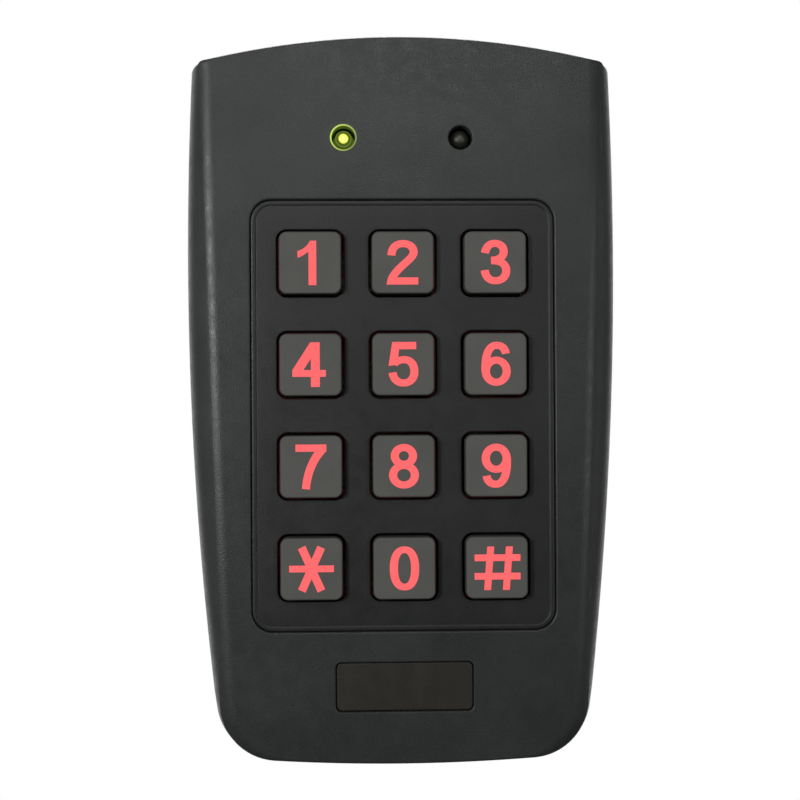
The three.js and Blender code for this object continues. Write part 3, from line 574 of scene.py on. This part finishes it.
def wall_ring(depth, inset=0.0, shown_depth=None):
    points, _ = outline(lambda z: half_width(z, depth) - inset, depth, inset)
    return points, depth if shown_depth is None else shown_depth


def hole_rings(shape, radius, floor):
    """Rings from the face over a rounded lip down to a floor. shape(out) is the hole's outline."""
    rings = [(shape(radius + FLAT_BAND), 0.0)]
    rings += [(shape(out), depth) for out, depth in lip(radius)]
    return rings + [(shape(0), floor)]


def panel_outline(out):
    return rounded_rectangle((0, PANEL_Z), PANEL_WIDTH + 2 * out, PANEL_HEIGHT + 2 * out,
                             max(PANEL_CORNER + out, LEAST_CORNER), 14)


LABEL_LOW, LABEL_HIGH = node_box("name_label")
LABEL_CENTRE = centre_of("name_label")
LABEL_FLOOR = LABEL_HIGH[1] - FACE_Y + LABEL_GAP


def label_outline(out):
    return rounded_rectangle(LABEL_CENTRE, LABEL_HIGH[0] - LABEL_LOW[0] + 2 * out,
                             LABEL_HIGH[2] - LABEL_LOW[2] + 2 * out, LABEL_CORNER + out, 6)


def carve(piece, cutter):
    """Cuts one mesh out of another and drops the cutter."""
    modifier = piece.modifiers.new("hole", "BOOLEAN")
    modifier.object = cutter
    modifier.solver = "EXACT"
    evaluated = piece.evaluated_get(bpy.context.evaluated_depsgraph_get())
    mesh = bpy.data.meshes.new_from_object(evaluated)
    piece.modifiers.clear()
    old = piece.data
    piece.data = mesh
    bpy.data.meshes.remove(old)
    bpy.data.objects.remove(cutter)
    mesh.set_sharp_from_angle(angle=math.radians(SHARP_ANGLE))


SCREW_CLEARANCE = 0.3        # hole to the screw's head, each side
SCREW_SUNK = 0.1             # mouth of the hole below the screw's head
SCREW_BORE = 1.8             # radius of the hole behind its countersink
CUT_OUTSIDE = 2.0            # reach of the cutter outside the mouth
CUT_INSIDE = 6.0


def screw_hole_cutter():
    """The countersunk hole for the security screw, on a vertical axis through the bottom wall."""
    low, high = node_box("security_screw")
    y = (low[1] + high[1]) / 2
    head = (high[0] - low[0]) / 2 + SCREW_CLEARANCE
    mouth = low[2] - SCREW_SUNK
    mesh = bpy.data.meshes.new("screw_hole")
    cone = bmesh.new()
    rings = []
    profile = [(head, mouth - CUT_OUTSIDE), (head, mouth), (SCREW_BORE, mouth + head - SCREW_BORE),
               (SCREW_BORE, mouth + CUT_INSIDE)]
    for radius, z in profile:
        rings.append([cone.verts.new(Vector((x, y + dy, z)) * MM) for x, dy in circle((0, 0), radius)])
    for first, second in zip(rings, rings[1:]):
        for i in range(len(first)):
            j = (i + 1) % len(first)
            cone.faces.new((first[i], first[j], second[j], second[i]))
    cone.faces.new(rings[0][::-1])
    cone.faces.new(rings[-1])
    cone.to_mesh(mesh)
    cone.free()
    cutter = bpy.data.objects.new("screw_hole", mesh)
    bpy.context.scene.collection.objects.link(cutter)
    return cutter


def make_cover():
    skin = Skin()
    outer = [edge_ring(0, FLAT_BAND)]
    outer += [edge_ring(share) for share in np.linspace(0, 1, 9)]
    outer += [wall_ring(SHOULDER_DEPTH * share ** 2) for share in np.linspace(0.2, 1, 26)]
    outer += [wall_ring(REAR_DEPTH - REAR_EDGE)]
    outer += [wall_ring(REAR_DEPTH, REAR_EDGE * (1 - math.sin(a)),
                        REAR_DEPTH - REAR_EDGE * (1 - math.cos(a)))
              for a in np.linspace(math.pi / 2, 0, 4)[1:]]
    inner = [wall_ring(REAR_DEPTH, SIDE_WALL)]
    inner += [wall_ring(depth, SIDE_WALL) for depth in np.linspace(SHOULDER_DEPTH, FACE_WALL, 9)]
    face, inside = skin.loft(outer + inner)

    panel = skin.loft(hole_rings(lambda out: panel_outline(PANEL_GROOVE + out), GROOVE_LIP, FACE_WALL))
    lights = [skin.loft(hole_rings(lambda out, c=c: circle(c, LIGHT_HOLE + out), LIGHT_LIP, FACE_WALL))
              for c in (LEFT_LIGHT, RIGHT_LIGHT)]
    label = skin.loft(hole_rings(lambda out: label_outline(LABEL_GAP + out), LABEL_LIP, LABEL_FLOOR))
    skin.fill(label[1])
    skin.fill(face, [panel[0], label[0], *(light[0] for light in lights)])
    skin.fill(inside, [panel[1], *(light[1] for light in lights)])
    cover = skin.build("cover_shell", COVER, "housing")
    carve(cover, screw_hole_cutter())
    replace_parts(cover, "front_cover")


# ---------------------------------------------------------------- panel
# (inset from the panel's edge, depth) over the raised bead and its thin inner groove
BEAD = [(0.0, 0.9), (0.0, 0.5), (0.03, 0.44), (0.10, 0.4), (0.2, 0.38), (0.42, 0.37), (0.6, 0.38),
        (0.7, 0.405), (0.77, 0.445), (0.82, 0.5), (0.86, 0.52), (0.9, 0.512), (0.95, 0.505)]
OPENING_LIP = 0.16           # rounding of a key opening's edge


def make_bezel():
    skin = Skin()
    flange_front = PANEL_BACK - FLANGE_THICKNESS
    behind = [(panel_outline(FLANGE), PANEL_BACK), (panel_outline(FLANGE), flange_front),
              (panel_outline(0), flange_front)]
    bead = [(panel_outline(-inset), depth) for inset, depth in BEAD]
    back, field = skin.loft(behind + bead + [(panel_outline(-BEAD[-1][0] - FLAT_BAND), PANEL_SUNK)])
    fronts, backs = [], []
    for key in KEYS:
        low, high = node_box(f"key_{key}")
        size = high[0] - low[0] + 2 * KEY_GAP
        corner, centre = KEY_CORNER + KEY_GAP, centre_of(f"key_{key}")
        edge = [(OPENING_LIP + FLAT_BAND, 0.0), *lip(OPENING_LIP, 4)]
        rings = [(rounded_rectangle(centre, size + 2 * out, size + 2 * out, corner + out),
                  PANEL_SUNK + depth) for out, depth in edge]
        rings.append((rounded_rectangle(centre, size, size, corner), PANEL_BACK))
        first, last = skin.loft(rings)
        fronts.append(first)
        backs.append(last)
    skin.fill(field, fronts)
    skin.fill(back, backs)
    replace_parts(skin.build("bezel_panel", PANEL, "housing"), "keypad_bezel")


# ---------------------------------------------------------------- legends
def bezier(points, count=14):
    """Points along a cubic Bezier chain: start, then two handles and an end for each curve."""
    path = [np.array(points[0], float)]
    for i in range(0, len(points) - 1, 3):
        p0, p1, p2, p3 = (np.array(p, float) for p in points[i:i + 4])
        for t in np.linspace(0, 1, count + 1)[1:]:
            path.append((1 - t) ** 3 * p0 + 3 * t * (1 - t) ** 2 * p1
                        + 3 * t * t * (1 - t) * p2 + t ** 3 * p3)
    return np.array(path)


def stroke(path, pen=PEN):
    """Field below 0 inside a pen stroke with square ends along a path."""
    path = np.asarray(path, float)

    def field(x, z):
        best = np.full(x.shape, FAR)
        for start, end in zip(path, path[1:]):
            run = (end - start) / pen
            px, pz = (x - start[0]) / pen[0], (z - start[1]) / pen[1]
            along = np.clip((px * run[0] + pz * run[1]) / float(run @ run), 0, 1)
            best = np.minimum(best, np.hypot(px - along * run[0], pz - along * run[1]) - 1)
        for tip, before in ((path[0], path[1]), (path[-1], path[-2])):
            run = (tip - before) / pen
            px, pz = (x - tip[0]) / pen[0], (z - tip[1]) / pen[1]
            beyond = (px * run[0] + pz * run[1]) / np.linalg.norm(run)
            best = np.where(np.hypot(px, pz) < 1.5, np.maximum(best, beyond), best)
        return best * min(pen)
    return field


def oval(centre, size, power=2.0):
    """Field below 0 inside an oval with the given half sizes."""
    def field(x, z):
        across = np.abs((x - centre[0]) / size[0]) ** power
        up = np.abs((z - centre[1]) / size[1]) ** power
        return ((across + up) ** (1 / power) - 1) * min(size)
    return field


def loop(centre, size, power=2.0, pen=PEN):
    """An oval ring whose half sizes are to the middle of the stroke."""
    outer = oval(centre, (size[0] + pen[0], size[1] + pen[1]), power)
    inner = oval(centre, (size[0] - pen[0], size[1] - pen[1]), power)
    return lambda x, z: np.maximum(outer(x, z), -inner(x, z))


def polygon(*parts):
    """Field below 0 inside a closed outline of corners, or of lists of them such as a Bezier."""
    corners = np.vstack([np.atleast_2d(part) for part in parts]).astype(float)

    def field(x, z):
        gap = np.full(x.shape, FAR)
        inside = np.zeros(x.shape, bool)
        for start, end in zip(corners, np.roll(corners, -1, axis=0)):
            run = end - start
            px, pz = x - start[0], z - start[1]
            along = np.clip((px * run[0] + pz * run[1]) / max(float(run @ run), 1e-12), 0, 1)
            gap = np.minimum(gap, np.hypot(px - along * run[0], pz - along * run[1]))
            if start[1] != end[1]:
                crossed = (start[1] > z) != (end[1] > z)
                inside ^= crossed & (px < pz / run[1] * run[0])
        return np.where(inside, -gap, gap)
    return field


def union(*fields):
    return lambda x, z: np.minimum.reduce([field(x, z) for field in fields])


def bar(start, end, width):
    return stroke([start, end], (width / 2, width / 2))


def turned_over(field):
    return lambda x, z: field(-x, -z)


SIX = union(
    loop((0.05, -1.22), (1.72, 1.82)),
    stroke(bezier([(-1.72, -1.3), (-1.85, 1.2), (-1.25, 3.05), (0.1, 3.05), (0.95, 3.05), (1.5, 2.6),
                   (1.66, 1.62)])))

LEGENDS = {
    "1": polygon(
        [(-0.28, -3.75), (1.08, -3.75), (1.08, 3.62)],
        bezier([(0.0, 3.62), (-0.35, 2.85), (-1.1, 2.15), (-2.1, 1.9)]),
        bezier([(-2.05, 0.7), (-1.4, 0.95), (-0.75, 1.3), (-0.28, 1.75)])),
    "2": union(
        stroke(bezier([(-1.88, 1.1), (-1.8, 2.5), (-1.05, 3.07), (0.05, 3.07), (1.1, 3.07), (1.8, 2.5),
                       (1.8, 1.65), (1.8, 0.45), (-1.3, -0.9), (-1.9, -3.0)])),
        polygon([(-2.75, -3.7), (2.57, -3.7), (2.57, -2.45), (-2.48, -2.45)])),
    "3": union(
        stroke(bezier([(-1.72, 1.45), (-1.5, 2.6), (-0.9, 3.08), (-0.1, 3.08), (0.85, 3.08), (1.4, 2.5),
                       (1.4, 1.75), (1.4, 0.9), (0.7, 0.3), (-0.75, 0.3)])),
        stroke(bezier([(-0.75, 0.22), (0.9, 0.3), (1.8, -0.35), (1.8, -1.4), (1.8, -2.45), (1.0, -3.08),
                       (0.0, -3.08), (-0.95, -3.08), (-1.6, -2.5), (-1.78, -1.3)]))),
    "4": union(
        polygon([(0.02, -3.7), (1.56, -3.7), (1.56, 3.7), (0.02, 3.7)]),
        polygon([(-3.02, -2.03), (2.55, -2.03), (2.55, -0.85), (-3.02, -0.85)]),
        polygon([(-3.02, -1.4), (-1.45, -1.4), (0.75, 2.0), (0.75, 3.7), (-0.05, 3.7), (-3.02, -0.88)])),
    "5": union(
        polygon([(-1.85, 2.42), (2.17, 2.42), (2.17, 3.7), (-1.85, 3.7)]),
        polygon([(-2.48, -0.32), (-0.98, -0.12), (-0.48, 3.7), (-1.86, 3.7)]),
        stroke(bezier([(-1.6, 0.02), (-1.0, 0.62), (-0.5, 0.75), (0.15, 0.75), (1.2, 0.75), (1.8, -0.05),
                       (1.8, -1.2), (1.8, -2.35), (1.1, -3.08), (0.0, -3.08), (-1.0, -3.08), (-1.65, -2.4),
                       (-1.8, -1.32)]))),
    "6": SIX,
    "7": union(
        polygon([(-2.57, 2.45), (2.57, 2.45), (2.57, 3.7), (-2.57, 3.7)]),
        stroke(bezier([(1.95, 3.0), (0.3, 1.3), (-0.7, -1.2), (-0.85, -3.7)]), (0.7, 0.8))),
    "8": union(loop((0, 1.7), (1.5, 1.38)), loop((0, -1.46), (1.79, 1.62))),
    "9": turned_over(SIX),
    "0": loop((0, 0), (1.74, 3.04), 2.3),
    "star": union(
        bar((-3.7, 0.05), (3.7, 0.05), 1.17),
        bar((-1.62, -3.6), (1.62, 3.6), 1.4),
        bar((-1.62, 3.6), (1.62, -3.6), 1.4)),
    "hash": union(
        bar((-3.75, 1.62), (3.9, 1.62), 1.17),
        bar((-3.75, -1.42), (3.9, -1.42), 1.17),
        polygon([(-2.2, -3.72), (-0.98, -3.72), (-0.42, 3.5), (-1.64, 3.5)]),
        polygon([(0.88, -3.72), (2.1, -3.72), (2.66, 3.5), (1.44, 3.5)])),
}


def contours(field):
    """Closed outlines of a field's zero line, found cell by cell on a grid."""
    ticks = np.arange(-LEGEND_REACH, LEGEND_REACH, LEGEND_STEP)
    x, z = np.meshgrid(ticks, ticks, indexing="ij")
    values = field(x, z) + LEGEND_TRIM
    values[values == 0] = 1e-9     # so that the line crosses between two corners, never at one
    inside = values < 0
    crossings, follow = {}, {}

    def crossing(a, b):
        if (a, b) not in crossings:
            share = values[a] / (values[a] - values[b])
            crossings[a, b] = crossings[b, a] = (
                ticks[a[0]] + share * (ticks[b[0]] - ticks[a[0]]),
                ticks[a[1]] + share * (ticks[b[1]] - ticks[a[1]]))
        return (a, b) if a < b else (b, a)

    corner = inside[:-1, :-1]
    mixed = (corner ^ inside[1:, :-1]) | (corner ^ inside[:-1, 1:]) | (corner ^ inside[1:, 1:])
    for i, j in zip(*np.nonzero(mixed)):
        i, j = int(i), int(j)
        ring = [(i, j), (i + 1, j), (i + 1, j + 1), (i, j + 1)]
        entries, exits = [], []
        for a, b in zip(ring, ring[1:] + ring[:1]):
            if inside[a] and not inside[b]:
                exits.append(crossing(a, b))
            elif inside[b] and not inside[a]:
                entries.append(crossing(a, b))
        for out, back in zip(exits, entries):
            follow[out] = back
    outlines = []
    while follow:
        start, at = next(iter(follow.items()))
        walk = [start]
        del follow[start]
        while at != start:
            walk.append(at)
            at = follow.pop(at)
        outlines.append(straighten(np.array([crossings[edge] for edge in walk])))
    return outlines


def straighten(points, tolerance=0.004):
    """Drops points that lie on the line between their neighbours."""
    keep = [0]
    last = 0
    for i in range(2, len(points) + 1):
        start, end = points[last], points[i % len(points)]
        between = points[last + 1:i]
        run = end - start
        length = max(np.hypot(*run), 1e-9)
        off = np.abs((between[:, 0] - start[0]) * run[1] - (between[:, 1] - start[1]) * run[0]) / length
        if off.max() > tolerance:
            last = i - 1
            keep.append(last)
    return points[keep]


def area(points):
    x, z = points[:, 0], points[:, 1]
    return 0.5 * float(np.sum(x * np.roll(z, -1) - np.roll(x, -1) * z))


def make_legend(key, top_depth):
    skin = Skin()
    outlines = sorted(contours(LEGENDS[key]), key=lambda points: -abs(area(points)))
    centre = centre_of(f"key_{key}")
    placed = [points + centre for points in outlines]
    front = [skin.ring(points, top_depth - LEGEND_RISE) for points in placed]
    back = [skin.ring(points, top_depth + LEGEND_RISE) for points in placed]
    for first, second in zip(front, back):
        skin.bridge(first, second)
    skin.fill(front[0], front[1:])
    skin.fill(back[0], back[1:])
    skin.build(f"legend_{key}", LEGEND, f"key_{key}", sharp_angle=30)


# ---------------------------------------------------------------- keys
PLUNGER_RADIUS = 3.0
PLUNGER_LENGTH = 1.1
SKIRT_WALL = 0.55
SKIRT_CORNER = 2.2
SKIRT_SPREAD = 0.5           # skirt's foot beyond its top, each side
SKIRT_FLARE = 1.5            # how much of the spreading lies close to the foot


def make_key(key):
    low, high = node_box(f"key_{key}")
    centre = centre_of(f"key_{key}")
    size = high[0] - low[0]
    top = low[1] - FACE_Y + LEGEND_RISE
    back = high[1] - FACE_Y - PLUNGER_LENGTH

    def square(inset):
        return rounded_rectangle(centre, size - 2 * inset, size - 2 * inset, KEY_CORNER - inset)

    skin = Skin()
    edge = [(square(inset), top + depth) for inset, depth in lip(KEY_EDGE, 7)]
    front, base = skin.loft([(square(KEY_EDGE + FLAT_BAND), top), *edge, (square(0), back)])
    skin.fill(front)
    neck, tip = skin.loft([(circle(centre, PLUNGER_RADIUS), back),
                           (circle(centre, PLUNGER_RADIUS), back + PLUNGER_LENGTH)])
    skin.fill(base, [neck])
    skin.fill(tip)
    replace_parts(skin.build(f"cap_{key}", KEY, f"key_{key}"), f"key_{key}")
    make_legend(key, top)
    make_skirt(key)


def make_skirt(key):
    """The thin wall around a key, built as a fixed shell from its top to its foot."""
    node = f"key_{key}_skirt"
    low, high = node_box(node)
    centre = centre_of(node)
    front, back = low[1] - FACE_Y, high[1] - FACE_Y
    foot = high[0] - low[0]
    top = foot - 2 * SKIRT_SPREAD

    def wall(inset, steps):
        shares = np.linspace(0, 1, steps)
        sizes = [top + (foot - top) * share ** SKIRT_FLARE - 2 * inset for share in shares]
        return [(rounded_rectangle(centre, size, size, SKIRT_CORNER - inset),
                 front + (back - front) * share) for size, share in zip(sizes, shares)]

    skin = Skin()
    outer, inner = wall(0, 6), wall(SKIRT_WALL, 6)
    first, last = skin.loft(outer + inner[::-1])
    skin.bridge(last, first)
    piece = skin.build(f"skirt_{key}", MAT, "housing")
    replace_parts(piece, node)
    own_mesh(piece)


# ---------------------------------------------------------------- lights and label
def make_light(node, centre, material):
    low, high = node_box(node)
    top, back = low[1] - FACE_Y, high[1] - FACE_Y
    flange = (high[0] - low[0]) / 2
    dome = [(LIGHT_RADIUS * math.sin(a), top + LIGHT_RADIUS * (1 - math.cos(a)))
            for a in np.linspace(0.02, math.pi / 2, 14)]
    step = back - LIGHT_FLANGE
    profile = [*dome, (LIGHT_RADIUS, step), (flange, step), (flange, back)]
    piece = turned(node.replace("status_light", "lens"), profile, centre, material, "housing")
    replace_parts(piece, node)


def make_label():
    top, back = LABEL_LOW[1] - FACE_Y, LABEL_HIGH[1] - FACE_Y
    skin = Skin()
    edge = [(label_outline(LABEL_SPREAD - out), top + depth) for out, depth in lip(LABEL_EDGE, 3)]
    front, last = skin.loft([(label_outline(-LABEL_EDGE), top), *edge, (label_outline(LABEL_SPREAD), back)])
    skin.fill(front)
    skin.fill(last)
    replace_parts(skin.build("label_insert", LABEL, "housing"), "name_label")


make_cover()
make_bezel()
for key in KEYS:
    make_key(key)
make_light("status_light_left", LEFT_LIGHT, GREEN)
make_light("status_light_right", RIGHT_LIGHT, DARK_LENS_PAINTED_GLOW)
make_label()

SLOT_MATERIALS = {
    "cover_plastic": BACK, "mat_silicone": MAT, "board_laminate": BOARD, "coil_copper": COPPER,
    "black_resin": RESIN, "steel": STEEL, "cream_nylon": NYLON, "seal_rubber": RUBBER,
    "backlight_red": CHIP,
}
for subpart in frame["record"]["subparts"]:
    if subpart["material_slot"] in SLOT_MATERIALS:
        mesh = frame["nodes"][subpart["node"]].data
        mesh.materials.clear()
        mesh.materials.append(SLOT_MATERIALS[subpart["material_slot"]])

# ---------------------------------------------------------------- camera, light and floor
CAMERA_DISTANCE = 0.230
CAMERA_LEFT = math.radians(1.74)     # the camera stands a little to the left of the reader
CAMERA_LOW = math.radians(0.33)      # and a little below its middle
CAMERA_ROLL = math.radians(-0.32)
CAMERA_LENS = 62.72
SENSOR_WIDTH = 36
AIM = Vector((-0.555, FACE_Y, -0.065)) * MM


def make_camera():
    data = bpy.data.cameras.new("camera")
    data.sensor_width = SENSOR_WIDTH
    data.lens = CAMERA_LENS
    camera = bpy.data.objects.new("camera", data)
    towards = Vector((math.sin(CAMERA_LEFT), math.cos(CAMERA_LEFT), math.sin(CAMERA_LOW)))
    camera.location = AIM - towards * CAMERA_DISTANCE
    camera.rotation_mode = "QUATERNION"
    camera.rotation_quaternion = towards.to_track_quat("-Z", "Y") @ Quaternion((0, 0, 1), CAMERA_ROLL)
    bpy.context.scene.collection.objects.link(camera)
    bpy.context.scene.camera = camera


def add_light(kind, name, place, target, power, **settings):
    data = bpy.data.lights.new(name, kind)
    data.energy = power
    for setting, value in settings.items():
        setattr(data, setting, value)
    lamp = bpy.data.objects.new(name, data)
    lamp.location = place
    lamp.rotation_mode = "QUATERNION"
    lamp.rotation_quaternion = (Vector(target) - Vector(place)).to_track_quat("-Z", "Y")
    bpy.context.scene.collection.objects.link(lamp)


def make_lights():
    face_y = FACE_Y * MM
    middle = (0.0, face_y, 0.0)
    add_light("SPOT", "key_light", (0.012, -0.34, 0.16), (0.008, face_y, 0.042), 0.56,
              spot_size=math.radians(46), spot_blend=1.0, shadow_soft_size=0.05)
    add_light("AREA", "softbox", (0.0, -0.36, 0.28), middle, 0.12, size=0.2)
    add_light("AREA", "left_lamp", (-0.20, -0.27, 0.04), middle, 0.49, size=0.05)
    add_light("AREA", "right_lamp", (0.20, -0.27, 0.0), middle, 0.105, size=0.05)
    for name, x, power in (("left_side", -0.45, 0.06), ("right_side", 0.45, 0.12)):
        add_light("AREA", name, (x, -0.10, 0.0), middle, power, shape="RECTANGLE", size=0.1, size_y=0.4)
    # stands behind the face's plane, so it lights the floor, the top and the back but not the face
    add_light("AREA", "overhead", (0.0, 0.32, 0.75), (0.0, 0.15, -0.25), 9.0, size=0.6)


def make_world():
    """White to the camera, and a dim soft light from all round with a brighter back."""
    world = bpy.data.worlds.new("studio")
    world.use_nodes = True
    bpy.context.scene.world = world
    nodes, links = world.node_tree.nodes, world.node_tree.links
    background = nodes["Background"]
    place = nodes.new("ShaderNodeTexCoord")
    split = nodes.new("ShaderNodeSeparateXYZ")
    links.new(place.outputs["Generated"], split.inputs[0])
    backward = math_node(nodes, links, "MULTIPLY_ADD", split.outputs["Y"], 0.5)
    backward.node.inputs[2].default_value = 0.5
    spread = ramp(nodes, links, backward, [(0.4, (0.02, 0.02, 0.02)), (0.7, (0.18, 0.18, 0.18)),
                                           (0.92, (1.2, 1.2, 1.2))])
    mix = nodes.new("ShaderNodeMixRGB")
    path = nodes.new("ShaderNodeLightPath")
    mix.inputs["Color2"].default_value = (1, 1, 1, 1)
    links.new(path.outputs["Is Camera Ray"], mix.inputs["Fac"])
    links.new(spread, mix.inputs["Color1"])
    links.new(mix.outputs["Color"], background.inputs["Color"])


def make_floor():
    mesh = bpy.data.meshes.new("floor")
    width, near, far, z = 0.7, -0.7, 0.5, -0.25
    corners = [(-width, near, z), (width, near, z), (width, far, z), (-width, far, z)]
    mesh.from_pydata(corners, [], [(0, 1, 2, 3)])
    material, nodes, links, shader = new_material("floor_paper", 0.8)
    cloud = noise(nodes, links, coordinates(nodes, links), 8, 3)
    links.new(ramp(nodes, links, cloud, [(0.3, (0.78, 0.78, 0.77)), (0.7, (0.84, 0.84, 0.83))]),
              shader.inputs["Base Color"])
    mesh.materials.append(material)
    floor = bpy.data.objects.new("floor", mesh)
    # the floor throws no light and no reflection onto the object
    floor.visible_diffuse = False
    floor.visible_glossy = False
    bpy.context.scene.collection.objects.link(floor)


make_camera()
make_lights()
make_world()
make_floor()
bpy.context.scene.view_settings.view_transform = "Standard"
